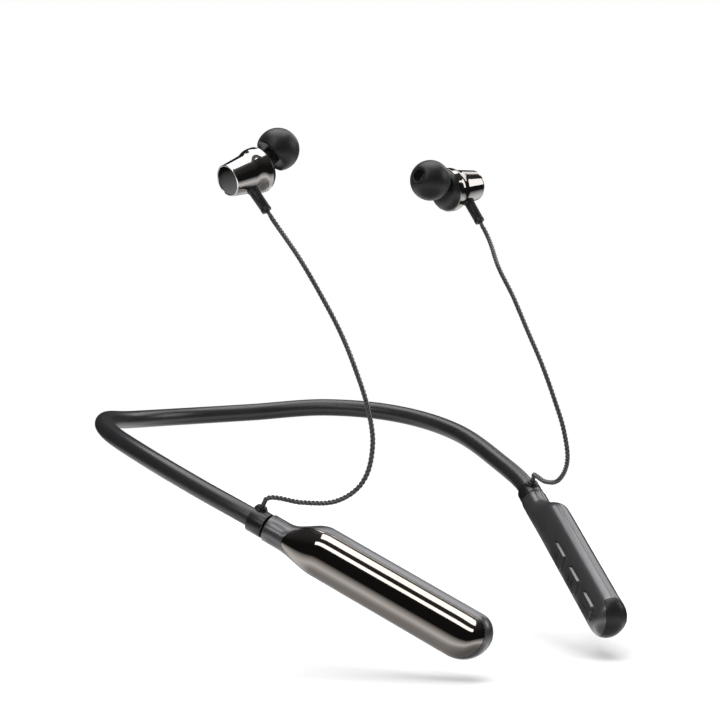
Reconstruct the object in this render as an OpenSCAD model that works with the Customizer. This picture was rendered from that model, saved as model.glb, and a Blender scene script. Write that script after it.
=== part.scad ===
// Neckband earphones: a springy silicone band with a pod at each end and two corded earbuds.
// X is across the neck (+X is the wearer's left), the wearer faces -Y, and Z is up.
// The origin is where the middle of the band rests on the nape of the neck.

/* [Neckband] */
// Diameter of the silicone band
band_d = 5.4; // [4.4:0.1:6.5]
// Diameter of the channel inside the band
channel_d = 2.8; // [2.6:0.1:3.4]
// Diameter of the spring wire
wire_d = 1; // [0.7:0.1:1.1]
// Diameter of the signal cable inside the band
cable_d = 1.2; // [0.8:0.1:1.3]

/* [Collars] */
// Length of the collar over the end of the band
collar_len = 5; // [4:0.5:8]
// Outer diameter of the collar
collar_d = 7.2; // [7:0.1:9]
// Groove between the collar and the pod
groove = 0.6; // [0.3:0.1:1.2]

/* [Pods] */
// Length of a pod from the groove to its tip
pod_len = 70.5; // [68:0.5:90]
// Height of a pod
pod_w = 14.4; // [14.2:0.2:18]
// Thickness of a pod
pod_t = 9.8; // [9.6:0.2:13]
// Radius of the pod's long edges
pod_r = 3.6; // [3.4:0.1:4.2]
// Wall of the pod shells
wall = 1.2; // [0.9:0.1:1.6]
// Thickness of the polished cover plate
plate_t = 1; // [0.6:0.1:1.2]
// Diameter of the neck that joins the pod to the collar
neck_d = 7.8; // [7.6:0.1:9]

/* [Buttons] */
// Length of a button
button_l = 8.8; // [8:0.2:10]
// Height of a button
button_w = 4.6; // [4:0.2:6]
// Distance between button centres
button_pitch = 12.8; // [12.6:0.2:14]
// How far a button stands out of the shell
button_rise = 0.8; // [0.5:0.1:1.2]
// How far a button travels
button_travel = 0.3; // [0.2:0.05:0.4]

/* [Battery] */
// Length of the battery cell
cell_l = 38; // [25:1:40]

/* [Earbuds] */
// Length of the metal housing
bud_len = 11.5; // [10.5:0.5:14]
// Diameter of the housing at the ear
bud_d = 13; // [12.6:0.2:16]
// Diameter of the housing at the back
bud_rear_d = 9; // [8.4:0.2:10]
// Angle between the nozzle and the housing
nozzle_angle = 24; // [10:1:30]
// Diameter of the nozzle
nozzle_d = 5; // [4.4:0.1:5.4]
// Diameter of the ear tip
tip_d = 12.1; // [11.2:0.1:14]
// Length of the strain relief from the housing's axis
relief_len = 12.6; // [10:0.2:16]

/* [Cords] */
// Diameter of an earbud cord
cord_d = 1.4; // [1.2:0.1:1.6]

/* [Hidden] */
$fn = 64;
eps = 0.01;
fit = 0.05;   // clearance of a close fit, on each side
gap = 0.15;   // clearance of a loose fit, on each side

// ---- colours ----
SILICONE = [0.10, 0.10, 0.11];
SATIN = [0.27, 0.27, 0.29];
CHROME = [0.42, 0.41, 0.40];
BLACK = [0.06, 0.06, 0.07];
STEEL = [0.70, 0.70, 0.72];
BOARD = [0.05, 0.30, 0.15];
FOAM = [0.30, 0.30, 0.32];
FOIL = [0.75, 0.76, 0.78];

// ---- where the left pod sits: its neck's axis starts at the groove ----
pod_at = [50, -106.5, -21];
pod_toe = 25.2;
pod_pitch = 25;
// The body of the pod is set off from its neck, outward and up, and is flush with it inward.
body_out = (pod_t - neck_d) / 2;
body_up = 1.9;

// Directions of the left pod in the row frame: along, outward and up
along = [-cos(pod_pitch) * sin(pod_toe), -cos(pod_pitch) * cos(pod_toe), -sin(pod_pitch)];
outward = [cos(pod_toe), -sin(pod_toe), 0];
upward = cross(along, outward);

// ---- the band's route, from the middle of the nape to the left collar ----
band_end = pod_at - along * collar_len;
band_half = [
    [0, band_d / 2, 0], [23.5, -2.5, 0.5], [42.5, -17, 2], [55, -38, 0.5],
    [59.5, -61, -4], [57, -83.5, -11.5], band_end,
];
band_seat = 1;        // the band stops this far before the groove
wire_reach = 12;      // the spring wire reaches this far into the neck of the pod
cable_reach = 16;     // the signal cable reaches this far into the pod
wire_lift = 0.75;     // the wire runs above the channel's middle, and the cable below it
cable_lift = -0.65;

// ---- collar and neck ----
spigot_d = 4.4;
spigot_len = 4;
spigot_flange_d = 6.2;
spigot_flange = 1;
neck_from = groove;
neck_hole_d = 5;
neck_to = 12;         // the neck's round end runs this far into the body
shoulder_from = 5;
shoulder_to = 18;
shoulder_tuck = 1;    // the body starts this far inside the neck

// ---- grommets where the cords leave the collars ----
grommet_x = -3.6;
grommet_d = 2.4;
grommet_flange_d = 3;
grommet_low = band_d / 2 + fit;
grommet_top = collar_d / 2 + 0.8;

// ---- pod shape: an oval of four arcs, with a tip that leans up ----
face_r = ((pod_t / 2) ^ 2 + (pod_w / 2 - pod_r) ^ 2 - pod_r ^ 2) / (pod_t - 2 * pod_r);
face_off = face_r - pod_t / 2;
tip_z = 1.2;                         // height of the tip's foremost point
tip_upper = 5;                       // length of the tip's rounding above and below it
tip_lower = 9;
tip_side = 4.2;                      // radius of the tip's rounding seen from above
// Inner face of the shell at height z
function inner_face(z) = face_off - sqrt((face_r - wall) ^ 2 - z ^ 2);

// ---- inside the pods ----
lid_inset = plate_t + 0.1 + wall;    // the outer shell lies under the cover plate
end_land = 4.35;                      // the port cover caps this much of the left pod's tip
end_wall = 1.3;
cavity_from = 14;
strip_y = -2.4;                      // the inner shell's strip beside the port cover
plate_rim = 0.9;
plate_from = 7;
plate_arch = 14;
plate_point_z = -2.2;                // height of the foremost point of the plate's arch
plate_low = 0.8;

board_t = 0.8;
board_y = -0.9;                      // inner face of the main board
board_from = 17;
board_w = pod_w - 2 * wall - 0.7;
board_to = pod_len - end_land - end_wall - 1.6;
post_d = 1.8;
post_z = board_w / 2 - 1.6;
posts = [[20, post_z], [20, -post_z], [board_to - 11, -post_z]];

socket_size = [6.5, 3.26, 8.94];
socket_y = -0.35;
socket_front = pod_len - end_land - 0.2;
socket_back = socket_front - socket_size[0];
socket_wall = 0.3;
cover_gap = 0.1;
lip_depth = 0.75;
anchor_z = [4.95, 5.4];
anchor_y = [-1.2, -0.5];

switch_size = [3, 0.8, 2.5];
plunger = 0.25;
button_last = 9.7;                   // from the tip to the middle of the last button
button_x = [for (i = [0:2]) pod_len - button_last - (2 - i) * button_pitch];
button_z = 1.1;
// The switches lie behind the buttons' middles, so the last one is clear of the socket.
stem_back = pod_len - button_last - (socket_back - 0.3 - switch_size[0] / 2);
flange_t = 0.5;
flange_lip = 0.6;
flange_y = inner_face(button_z + button_w / 2 - flange_lip) + 0.1;

cell_from = 20;
cell_y = [-2.4, 1];
cell_w = 8;
pad_l = cell_l - 8;
pad_w = 3;

// ---- where the right earbud sits: the middle of its back ----
bud_at = [-46.3, -83.9, 72.8];
bud_lean = -34;
right_tilt = -17;
left_tilt = 8;
metal = 0.6;
disc_t = 0.95;
disc_sink = 0.25;
bell_from = 6.5;
bell_to = 9.8;
bell_waist = bud_d - 2.1;
driver_d = 10;
driver_t = 2.7;
driver_z = bud_len - 2.9;
spigot_r = driver_d / 2 + fit;
nozzle_turn = 54;        // the nozzle leans this far forward of straight up
nozzle_offset = 0.9;
nozzle_len = 10.2;
nozzle_wall = 0.8;
mesh_t = 0.3;
tip_at = 7.75;           // middle of the ear tip's dome along the nozzle
tip_skirt = 3.1;
tip_nose = 5.5;
tip_wall = 0.7;
tip_hole_d = 4;
relief_z = 5.6;
relief_d = 3;
relief_hole_d = 2.7;

// ---- small vector and curve functions ----
function unit(v) = v / norm(v);
function heading(p, i, first, last) =
    i == 0 ? first : i == len(p) - 1 ? last : unit(p[i + 1] - p[i - 1]);
function between(a, b, u, v, t) =
    (2 * t ^ 3 - 3 * t ^ 2 + 1) * a + (t ^ 3 - 2 * t ^ 2 + t) * u
    + (3 * t ^ 2 - 2 * t ^ 3) * b + (t ^ 3 - t ^ 2) * v;
// A smooth line through points p, with about one step for each length `step`
function smooth_line(p, step, first, last) = [
    for (i = [0:len(p) - 2])
        let (d = norm(p[i + 1] - p[i]), n = max(1, round(d / step)))
        for (k = [0:n - 1])
            between(p[i], p[i + 1], d * heading(p, i, first, last),
                d * heading(p, i + 1, first, last), k / n),
    p[len(p) - 1],
];
function run(p, i) = unit(p[min(i + 1, len(p) - 1)] - p[max(i - 1, 0)]);
function ring(c, t, r, sides, side_of, lift) =
    let (n = unit(cross(t, side_of)), b = cross(n, t))
    [for (k = [0:sides - 1]) let (a = 360 * (k + 0.5) / sides) c + b * lift + r * (n * cos(a) + b * sin(a))];
function mirrored(p) = [for (q = p) [-q[0], q[1], q[2]]];
function reversed(p) = [for (i = [len(p) - 1:-1:0]) p[i]];
function ease(t) = let (u = min(1, max(0, t))) u * u * (3 - 2 * u);

// A round tube along a line of points. lift shifts it across the line.
module tube(line, d, sides, side_of = [0, 0, 1], lift = 0) {
    last = len(line) - 1;
    points = [for (i = [0:last]) each ring(line[i], run(line, i), d / 2, sides, side_of, lift)];
    faces = concat(
        [[for (k = [sides - 1:-1:0]) k]],
        [for (i = [0:last - 1]) for (k = [0:sides - 1])
            let (a = i * sides + k, b = i * sides + (k + 1) % sides)
            each [[a, b, a + sides], [b, b + sides, a + sides]]],
        [[for (k = [0:sides - 1]) last * sides + k]]
    );
    polyhedron(points = points, faces = faces, convexity = 12);
}

// ---- lines that the band and what runs inside it follow ----
function left_line(step) = smooth_line(band_half, step, [1, 0, 0], along);
function band_line(step, reach) =
    let (left = concat(left_line(step), [pod_at + along * reach]), n = len(left))
    concat(reversed(mirrored([for (i = [1:n - 1]) left[i]])), left);

module in_left_pod() translate(pod_at) rotate([0, pod_pitch, -90 - pod_toe]) children();
module in_pod(side) {
    if (side == "left") in_left_pod() children();
    else mirror([1, 0, 0]) in_left_pod() children();
}
// Moves from the neck's axis to the body's middle.
module in_body(side) in_pod(side) translate([0, body_out, body_up]) children();

// A cylinder along X
module bar(x0, x1, d) translate([x0, 0, 0]) rotate([0, 90, 0]) cylinder(d = d, h = x1 - x0);
// A box given by its low and high corners
module block(low, high) translate(low) cube(high - low);

// ---- band ----
module neckband_sleeve() {
    color(SILICONE) difference() {
        tube(band_line(6, -band_seat), band_d, 16);
        tube(band_line(6, -band_seat + 1), channel_d, 8);
    }
}
module spring_wire() color(STEEL) tube(band_line(6, wire_reach), wire_d, 8, lift = wire_lift);
module signal_cable() color(BLACK) tube(band_line(6, cable_reach), cable_d, 8, lift = cable_lift);

// ---- collars ----
module collar(side) {
    color(SATIN) in_pod(side) difference() {
        union() {
            bar(-collar_len, 0, collar_d);
            bar(-eps, spigot_len, spigot_d);
            bar(spigot_len - spigot_flange, spigot_len, spigot_flange_d);
            translate([grommet_x, 0, 0]) cylinder(d = grommet_flange_d + 0.8, h = collar_d / 2 + 0.25);
        }
        bar(-collar_len - 1, -band_seat + fit, band_d + 2 * fit);
        bar(-band_seat, spigot_len + 1, channel_d + 0.2);
        translate([grommet_x, 0, 0]) cylinder(d = grommet_d + 2 * fit, h = collar_d);
    }
}
module cord_grommet(side) {
    color(BLACK) in_pod(side) translate([grommet_x, 0, 0]) difference() {
        union() {
            translate([0, 0, grommet_low]) cylinder(d = grommet_d, h = grommet_top - grommet_low);
            translate([0, 0, collar_d / 2 + 0.3]) cylinder(d = grommet_flange_d, h = grommet_top - collar_d / 2 - 0.3);
        }
        cylinder(d = cord_d + 2 * fit, h = collar_d + 2);
    }
}
// The brass block crimped on the end of the spring wire
module wire_anchor(side) {
    color("goldenrod") in_pod(side) translate([0, 0, wire_lift]) difference() {
        bar(wire_reach - 3, wire_reach, 2.6);
        bar(wire_reach - 4, wire_reach + 1, wire_d + 0.04);
        block([wire_reach - 4, -2, -2], [wire_reach + 1, 2, -wire_d / 2 - 0.15]);
    }
}

// ---- pod bodies ----
// A size that grows from the neck to the body over the shoulder
function swell(x, from, to) = from + (to - from) * ease((x - shoulder_from) / (shoulder_to - shoulder_from));
shoulder_steps = [for (i = [0:9]) shoulder_from + (shoulder_to - shoulder_from) * i / 9];
end_steps = 12;
// A quarter of the tip's outline, from its side to its foremost point
function tip_quarter(reach, height, low, inset) = [
    for (i = [0:end_steps]) let (a = 90 * i / end_steps)
        [pod_len - reach + (reach - inset) * sin(a), low + sign(height) * (abs(height) - inset) * cos(a)],
];
// The tip's outline in the side view, from the upper side to the lower one
function tip_side_view(inset) =
    let (lower = tip_quarter(tip_lower, -pod_w / 2 - tip_z, tip_z, inset))
    concat(tip_quarter(tip_upper, pod_w / 2 - tip_z, tip_z, inset), [for (i = [end_steps - 1:-1:0]) lower[i]]);
// Outline of the pod in the side view
module pod_side_view(inset) {
    top = neck_d / 2 - body_up - shoulder_tuck;
    low = -neck_d / 2 - body_up + shoulder_tuck;
    polygon(concat(
        [for (x = shoulder_steps) [x, swell(x, top, pod_w / 2) - inset]],
        tip_side_view(inset),
        [for (i = [9:-1:0]) let (x = shoulder_steps[i]) [x, swell(x, low, -pod_w / 2) + inset]]
    ));
}
// Outline of the pod seen from above
module pod_top_view(inset) {
    out = neck_d / 2 - body_out - shoulder_tuck;
    flat = pod_t / 2 - tip_side;
    outer = tip_quarter(tip_side, tip_side, flat, inset);
    polygon(concat(
        [for (x = shoulder_steps) [x, swell(x, out, pod_t / 2) - inset]],
        outer,
        [for (i = [end_steps:-1:0]) [outer[i][0], -outer[i][1]]],
        [[shoulder_from, inset - pod_t / 2]]
    ));
}
module pod_section(inset) {
    end_z = pod_w / 2 - pod_r;
    tangent_z = end_z * (face_r - inset) / (face_r - pod_r);
    intersection() {
        translate([-face_off, 0]) circle(face_r - inset);
        translate([face_off, 0]) circle(face_r - inset);
        square([pod_t, 2 * tangent_z], center = true);
    }
    for (i = [-1, 1]) translate([0, i * end_z]) circle(pod_r - inset);
}
// The pod's outer solid, or a smaller one that is inset all round
module pod_solid(inset = 0) {
    intersection() {
        rotate([90, 0, 0]) linear_extrude(2 * pod_t, center = true) pod_side_view(inset);
        linear_extrude(2 * pod_w, center = true) pod_top_view(inset);
        translate([shoulder_from, 0, 0]) rotate([90, 0, 90]) linear_extrude(pod_len) pod_section(inset);
    }
}
module inner_half() block([0, -pod_t, -pod_w], [pod_len + 1, 0, pod_w]);
module outer_half() block([0, 0, -pod_w], [pod_len + 1, pod_t, pod_w]);
// The cover plate's outline: an arched start, straight sides and the pod's own tip, cut off at `stop`
module plate_outline(extra, stop) {
    half = pod_w / 2 - plate_rim + extra;
    start = plate_from + plate_arch;
    intersection() {
        polygon(concat(
            tip_side_view(plate_rim - extra),
            [for (i = [0:16]) let (a = 90 * i / 16)
                [start - (plate_arch + extra) * sin(a), plate_point_z - (half + plate_point_z) * cos(a)]],
            [for (i = [15:-1:0]) let (a = 90 * i / 16)
                [start - (plate_arch + extra) * sin(a), plate_point_z + (half - plate_point_z) * cos(a)]]
        ));
        translate([0, -pod_w]) square([stop + extra, 2 * pod_w]);
    }
}
module plate_prism(extra, stop) {
    rotate([90, 0, 0]) translate([0, 0, -pod_t]) linear_extrude(pod_t - plate_low) plate_outline(extra, stop);
}
function plate_stop(side) = side == "left" ? pod_len - end_land - 0.9 : pod_len - plate_rim;
function cavity_to(side) = side == "left" ? pod_len - end_land - end_wall : pod_len;

module cover_plate(side) {
    color(CHROME) in_body(side) intersection() {
        difference() {
            pod_solid();
            pod_solid(plate_t);
        }
        plate_prism(0, plate_stop(side));
    }
}
// The hollow that both shells share, seen from the inside
module pod_cavity(side, inset) {
    intersection() {
        pod_solid(inset);
        block([cavity_from, -pod_t, -pod_w], [cavity_to(side), pod_t, pod_w]);
    }
}
// Everything cut from the neck for the collar's spigot, wire and cable, on the neck's axis
module neck_cuts() {
    bar(0, spigot_len - spigot_flange, spigot_d + 2 * fit);
    bar(spigot_len - spigot_flange - fit, spigot_len + fit, spigot_flange_d + 2 * fit);
    bar(spigot_len, cavity_from + 1, neck_hole_d);
}
module pod_shell_solid() {
    pod_solid();
    translate([0, -body_out, -body_up]) bar(neck_from, neck_to, neck_d);
}
module port_cut() {
    block([pod_len - end_land - end_wall - 1, socket_y - socket_size[1] / 2 - gap, -socket_size[2] / 2 - gap],
        [pod_len, socket_y + socket_size[1] / 2 + gap, socket_size[2] / 2 + gap]);
    block([pod_len - end_land, strip_y, -pod_w], [pod_len + 1, pod_t, pod_w]);
    block([pod_len - end_land - end_wall - 1, anchor_y[0] - fit, anchor_z[0] - fit],
        [pod_len, anchor_y[1] + fit, anchor_z[1] + fit]);
}
module board_posts() {
    for (p = posts) translate([p[0], -pod_t / 2, p[1]])
        rotate([-90, 0, 0]) cylinder(d = post_d, h = board_y + pod_t / 2);
}
module button_holes() {
    for (x = button_x) translate([x, -pod_t / 2 - 1, button_z]) rotate([-90, 0, 0])
        linear_extrude(pod_t / 2 + 1 + flange_y + button_travel + 0.12) button_outline(gap);
}
module inner_shell(side) {
    color(SATIN) in_body(side) difference() {
        intersection() {
            union() {
                difference() {
                    pod_shell_solid();
                    pod_cavity(side, wall);
                }
                if (side == "left") intersection() {
                    board_posts();
                    pod_solid(eps);
                }
            }
            inner_half();
        }
        translate([0, -body_out, -body_up]) neck_cuts();
        if (side == "left") {
            button_holes();
            port_cut();
            translate([microphone_x, -pod_t, microphone_z]) rotate([-90, 0, 0]) cylinder(d = 1, h = pod_t);
        }
    }
}
module outer_shell(side) {
    color(SATIN) in_body(side) difference() {
        intersection() {
            pod_shell_solid();
            outer_half();
        }
        pod_cavity(side, lid_inset);
        difference() {
            plate_prism(0.1, plate_stop(side));
            pod_solid(plate_t + 0.1);
        }
        translate([0, -body_out, -body_up]) neck_cuts();
        if (side == "left") port_cut();
    }
}

// ---- electronics in the left pod ----
microphone_x = board_to - 6.5;
microphone_z = -3.4;
microphone_size = [3.5, 1.1, 2.6];
module main_board() {
    color(BOARD) in_body("left") difference() {
        block([board_from, board_y, -board_w / 2], [board_to, board_y + board_t, board_w / 2]);
        for (z = [-1, 1]) translate([board_from, board_y - 1, z * board_w / 2])
            rotate([-90, 0, 0]) cylinder(r = 1.5, h = board_t + 2);
        // the socket sits in a notch in the board's end
        block([socket_back - 0.1, board_y - 1, -socket_size[2] / 2 - 0.1],
            [pod_len, board_y + board_t + 1, socket_size[2] / 2 + 0.1]);
    }
}
module bluetooth_module() {
    color(FOIL) in_body("left")
        block([30, board_y + board_t, -3.7], [44, board_y + board_t + 1.4, 3.7]);
}
module tact_switches() {
    color("dimgray") in_body("left") for (x = button_x) {
        translate([x - stem_back - switch_size[0] / 2, board_y - switch_size[1], button_z - switch_size[2] / 2])
            cube(switch_size);
        translate([x - stem_back, board_y - switch_size[1] - plunger, button_z])
            rotate([-90, 0, 0]) cylinder(d = 1.4, h = plunger + 0.1);
    }
}
module microphone() {
    color(FOIL) in_body("left") translate([microphone_x - microphone_size[0] / 2,
        board_y - microphone_size[1], microphone_z - microphone_size[2] / 2]) cube(microphone_size);
}
module rounded_slot(size, r) {
    square([size[0], size[1] - 2 * r], center = true);
    square([size[0] - 2 * r, size[1]], center = true);
    for (i = [-1, 1]) for (j = [-1, 1]) translate([i * (size[0] / 2 - r), j * (size[1] / 2 - r)]) circle(r);
}
module usb_socket() {
    h = socket_size[1];
    w = socket_size[2];
    color(STEEL) in_body("left") translate([socket_front, socket_y, 0]) rotate([90, 0, -90]) {
        linear_extrude(socket_size[0]) difference() {
            rounded_slot([h, w], 1.2);
            rounded_slot([h - 2 * socket_wall, w - 2 * socket_wall], 0.9);
        }
        translate([0, 0, socket_size[0] - 0.8]) linear_extrude(0.8) rounded_slot([h, w], 1.2);
        translate([0, 0, 0.8]) linear_extrude(socket_size[0] - 1) square([0.7, 6.6], center = true);
    }
}

// ---- buttons ----
module button_outline(extra) {
    rounded_slot([button_l + 2 * extra, button_w + 2 * extra], 1.4 + extra);
}
module button(i) {
    tip_y = board_y - switch_size[1] - plunger - fit - button_travel;
    color(SATIN) in_body("left") {
        difference() {
            intersection() {
                translate([button_x[i], -pod_t / 2 - button_rise, button_z]) rotate([-90, 0, 0])
                    linear_extrude(flange_y + pod_t / 2 + button_rise) button_outline(0);
                pod_solid(-button_rise);
            }
            translate([button_x[i], -pod_t / 2 - button_rise - 1, button_z]) rotate([-90, 0, 0])
                linear_extrude(1.2) button_mark(i);
        }
        intersection() {
            translate([button_x[i], flange_y - 0.1, button_z]) rotate([-90, 0, 0]) linear_extrude(flange_t + 0.1)
                rounded_slot([button_l + 2 * flange_lip, button_w - 2 * flange_lip], 1.4);
            block([0, -pod_t, -pod_w], [cavity_to("left") - 0.2, pod_t, pod_w]);
        }
        translate([button_x[i] - stem_back, flange_y, button_z]) rotate([-90, 0, 0])
            cylinder(d = 2, h = tip_y - flange_y);
    }
}
// Plain marks: a plus, a play sign, and a minus
module button_mark(i) {
    if (i == 0) for (a = [0, 90]) rotate(a) square([2.4, 0.5], center = true);
    if (i == 1) {
        polygon([[-1.6, -1.1], [-1.6, 1.1], [0.2, 0]]);
        for (x = [0.6, 1.4]) translate([x, -1.1]) square([0.4, 2.2]);
    }
    if (i == 2) square([2.4, 0.5], center = true);
}

// ---- rubber cover over the charging port ----
module port_cover() {
    low_x = pod_len - end_land + cover_gap;
    color(BLACK) in_body("left") {
        intersection() {
            pod_solid();
            block([low_x, strip_y + cover_gap, -pod_w], [pod_len + 1, pod_t, pod_w]);
        }
        block([low_x - lip_depth, socket_y - 1, -3.8], [low_x + eps, socket_y + 1, 3.8]);
    }
}
module port_cover_anchor() {
    land = pod_len - end_land;
    color(BLACK) in_body("left") {
        block([land - end_wall - 1, anchor_y[0] - 0.15, anchor_z[0] - 0.4],
            [land - end_wall - fit, anchor_y[1] + 0.15, anchor_z[1] + 0.1]);
        block([land - end_wall - 0.1, anchor_y[0], anchor_z[0]], [land + fit, anchor_y[1], anchor_z[1]]);
    }
}

// ---- battery in the right pod ----
module battery_cell() {
    color(FOIL) in_body("right")
        block([cell_from, cell_y[0], -cell_w / 2], [cell_from + cell_l, cell_y[1], cell_w / 2]);
}
module battery_foam_pad() {
    color(FOAM) in_body("right")
        block([cell_from + 4, inner_face(pad_w / 2) + 0.02, -pad_w / 2],
            [cell_from + 4 + pad_l, cell_y[0], pad_w / 2]);
}
module battery_protection_board() {
    x = cell_from + cell_l + 0.3;
    color(BOARD) in_body("right") block([x, -1.5, -4.5], [x + 5, -0.7, 4.5]);
}

// ---- earbuds, each drawn along +Z from its back to the ear, with the cord leaving toward -Y ----
module in_right_bud(tilt) {
    translate(bud_at) rotate([bud_lean, tilt, 0]) rotate([90, 0, 90]) children();
}
module in_bud(side) {
    if (side == "right") in_right_bud(right_tilt) children();
    else mirror([1, 0, 0]) in_right_bud(left_tilt) children();
}
function bud_radius(z, inset) =
    z < bell_from ? bud_rear_d / 2 + (bell_waist - bud_rear_d) / 2 * z / bell_from - inset
    : bell_waist / 2 + (bud_d - bell_waist) / 2 * ease((z - bell_from) / (bell_to - bell_from)) - inset;
bell_steps = [for (i = [0:6]) bell_from + (bell_to - bell_from) * i / 6];
module bud_solid(inset, z0, z1) {
    rotate_extrude() polygon(concat(
        [[0, z0], [bud_radius(z0, inset), z0]],
        [for (z = bell_steps) [bud_radius(z, inset), z]],
        [[bud_d / 2 - inset, z1], [0, z1]]
    ));
}
module bud_housing(side) {
    color(CHROME) in_bud(side) difference() {
        bud_solid(0, 0, bud_len);
        difference() {
            bud_solid(metal, -1, bud_len + 1);
            // ledge that the rear disc rests on
            difference() {
                translate([0, 0, disc_sink + disc_t]) cylinder(d = bud_rear_d + 2, h = 0.8);
                translate([0, 0, -1]) cylinder(d = 6.6, h = 5);
            }
        }
        translate([0, 0, relief_z]) rotate([90, 0, 0]) cylinder(d = relief_hole_d + 2 * fit, h = bud_d);
    }
}
module bud_rear_disc(side) {
    color(BLACK) in_bud(side) translate([0, 0, disc_sink])
        cylinder(r = bud_radius(disc_sink, metal) - fit, h = disc_t);
}
module bud_magnet(side) {
    color(STEEL) in_bud(side) translate([0, 0, disc_sink + disc_t]) cylinder(d = 6.4, h = 1.6);
}
module bud_driver_frame(side) {
    color(STEEL) in_bud(side) translate([0, 0, driver_z]) difference() {
        cylinder(d = driver_d, h = driver_t);
        translate([0, 0, 0.4]) cylinder(d = driver_d - 1.6, h = driver_t);
        translate([0, 0, driver_t - 0.4]) cylinder(d = driver_d - 0.8, h = 1);
    }
}
module bud_driver_magnet(side) {
    color("dimgray") in_bud(side) translate([0, 0, driver_z + 0.4]) cylinder(d = 6, h = 1.4);
}
module bud_diaphragm(side) {
    color("goldenrod") in_bud(side) translate([0, 0, driver_z + driver_t - 0.4]) cylinder(d = driver_d - 0.9, h = 0.15);
}
// Frame of the angled nozzle: +Z runs along it from its foot
module in_nozzle() {
    lean = [-sin(nozzle_turn), cos(nozzle_turn), 0];
    translate([0, 0, bud_len] + lean * nozzle_offset) rotate(nozzle_angle, v = cross([0, 0, 1], lean)) children();
}
module bud_baffle(side) {
    rim = bud_d / 2 - 0.25;
    color(BLACK) in_bud(side) difference() {
        union() {
            rotate_extrude() polygon([[0, bud_len], [rim, bud_len], [rim, bud_len + 0.5],
                [rim - 0.6, bud_len + 1.3], [rim - 1.8, bud_len + 1.9], [0, bud_len + 2.1]]);
            translate([0, 0, bud_len - 1.6]) cylinder(r = bud_d / 2 - metal - fit, h = 1.6 + eps);
            in_nozzle() cylinder(d = nozzle_d, h = nozzle_len);
        }
        translate([0, 0, bud_len - 2]) cylinder(r = spigot_r, h = 2);
        in_nozzle() translate([0, 0, -0.5]) cylinder(d = nozzle_d - 2 * nozzle_wall, h = nozzle_len + 1);
        in_nozzle() translate([0, 0, nozzle_len - mesh_t]) cylinder(d = nozzle_d - nozzle_wall, h = 1);
        translate([0, 0, bud_len - 6]) cylinder(r = spigot_r, h = 5);
    }
}
module bud_nozzle_mesh(side) {
    color("silver") in_bud(side) in_nozzle() translate([0, 0, nozzle_len - mesh_t])
        cylinder(d = nozzle_d - nozzle_wall - 2 * fit, h = mesh_t - 0.05);
}
module bud_ear_tip(side) {
    bore = nozzle_d + 2 * fit;
    color(SILICONE) in_bud(side) in_nozzle() translate([0, 0, tip_at]) difference() {
        intersection() {
            sphere(d = tip_d);
            translate([0, 0, -tip_skirt]) cylinder(d = 2 * tip_d, h = tip_skirt + tip_nose);
        }
        difference() {
            intersection() {
                sphere(d = tip_d - 2 * tip_wall);
                translate([0, 0, -tip_skirt - 1]) cylinder(d = tip_d, h = tip_skirt + 3.6);
            }
            translate([0, 0, -tip_skirt + 0.6]) cylinder(d = bore + 1.6, h = tip_d);
        }
        translate([0, 0, -tip_d]) cylinder(d = bore, h = tip_d + nozzle_len - tip_at + 0.15);
        cylinder(d = tip_hole_d, h = tip_d);
    }
}
module bud_strain_relief(side) {
    top = bud_radius(relief_z, 0);
    color(BLACK) in_bud(side) translate([0, 0, relief_z]) rotate([90, 0, 0]) difference() {
        union() {
            translate([0, 0, top - 1]) cylinder(d = relief_hole_d, h = relief_len - top + 1);
            difference() {
                union() {
                    translate([0, 0, top - 1]) cylinder(d = relief_d + 0.9, h = 1.7);
                    translate([0, 0, top - 1]) cylinder(d = relief_d, h = relief_len - top);
                }
                rotate([-90, 0, 0]) translate([0, 0, -relief_z]) bud_solid(-fit, 0, bud_len);
            }
        }
        translate([0, 0, relief_len - 1]) cylinder(d = cord_d + 2 * fit, h = 2);
    }
}

// ---- cords ----
// Points that each cord passes on its way down to its collar. The right cord is drawn on the
// left side and mirrored. Each cord starts straight out of its own strain relief.
left_cord_way = [
    [36, -106, 48], [35, -113, 40], [34.5, -119.5, 30.5], [34.5, -125.5, 21], [35, -130, 11.5],
    [36, -133, 2.5], [38.5, -132, -6.5], [42.5, -124.5, -13], [46, -115.5, -14.5], [48.5, -109, -13.5],
];
right_cord_way = [
    [38, -105, 52], [36, -112, 42], [34.5, -119, 31.5], [34.5, -125.5, 21.5], [34.5, -130.5, 11.5],
    [35, -133, 2], [37, -131.5, -7.5], [40.5, -125, -13], [45, -115.5, -14], [49, -108, -13],
];
cord_straight = 1.6;
cord_in = 0.8;           // length of cord inside the strain relief
function turn_x(v, a) = [v[0], v[1] * cos(a) - v[2] * sin(a), v[1] * sin(a) + v[2] * cos(a)];
function turn_y(v, a) = [v[0] * cos(a) + v[2] * sin(a), v[1], v[2] * cos(a) - v[0] * sin(a)];
// A direction or point drawn in the right earbud's frame, with its place added by bud_point
function bud_way(v, tilt) = turn_y(turn_x([v[2], v[0], v[1]], bud_lean), tilt);
function bud_point(v, tilt) = bud_at + bud_way(v, tilt);
collar_exit = pod_at + along * grommet_x + upward * (grommet_low + 0.1);
function cord_line(tilt, way_down) =
    let (out = bud_way([0, -1, 0], tilt), start = bud_point([0, cord_in - relief_len, relief_z], tilt),
        way = [-out[0], out[1], out[2]], from = [-start[0], start[1], start[2]])
    concat([from], smooth_line(concat([from + way * (cord_in + 2)], way_down,
        [collar_exit + upward * (cord_straight + grommet_top - grommet_low)]), 3.6, way, -upward),
        [collar_exit]);
module cord_left() color(BLACK) tube(cord_line(left_tilt, left_cord_way), cord_d, 8, [1, 0, 0]);
module cord_right() {
    color(BLACK) mirror([1, 0, 0]) tube(cord_line(right_tilt, right_cord_way), cord_d, 8, [1, 0, 0]);
}

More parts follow.
